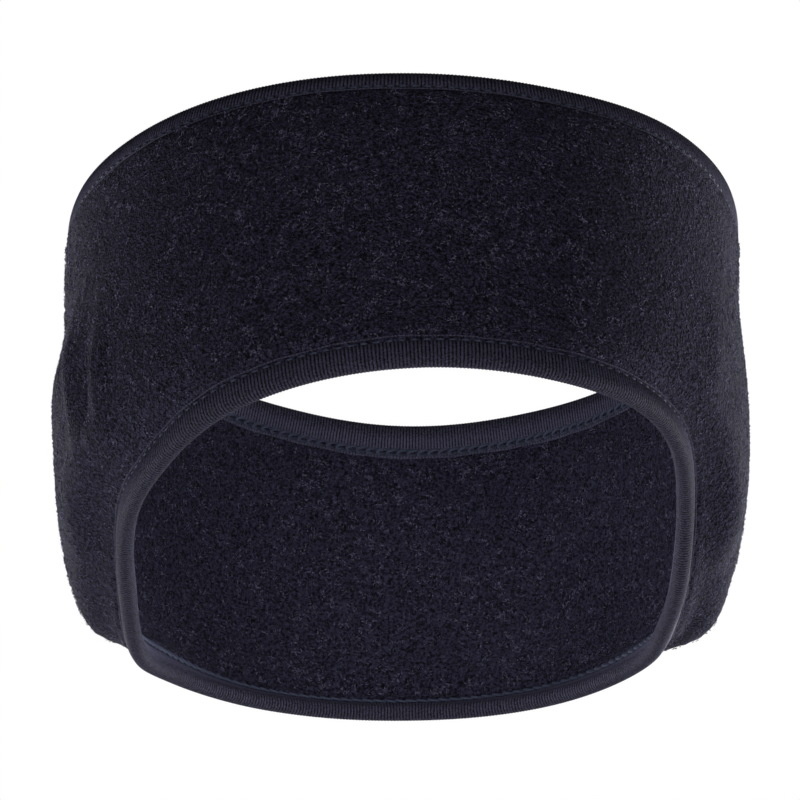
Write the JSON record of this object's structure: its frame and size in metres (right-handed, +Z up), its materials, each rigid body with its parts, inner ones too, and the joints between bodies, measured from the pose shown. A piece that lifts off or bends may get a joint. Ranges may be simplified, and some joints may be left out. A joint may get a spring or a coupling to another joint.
{
  "type": "ear warmer headband",
  "caption": "Wide fleece ear warmer headband in worn form, deeper over the ears, with a folded rib tape bound over its upper and lower edges.",
  "frame": {"origin": "on the head's axis inside the band, where a head would hold it", "axes": "+Z up through the crown, with the upper rim level; -Y towards the brow; +X towards the wearer's left ear"},
  "size_m": [0.1739, 0.2025, 0.1024],
  "materials": {
    "fleece": "matt brushed polyester fleece, dark navy, short sheared pile",
    "rib_tape": "fine rib binding tape, dark navy, soft sheen on the folded edge"
  },
  "bodies": {
    "root": {"fleece_band": "fleece", "upper_binding": "rib_tape", "lower_binding": "rib_tape"}
  },
  "joints": []
}
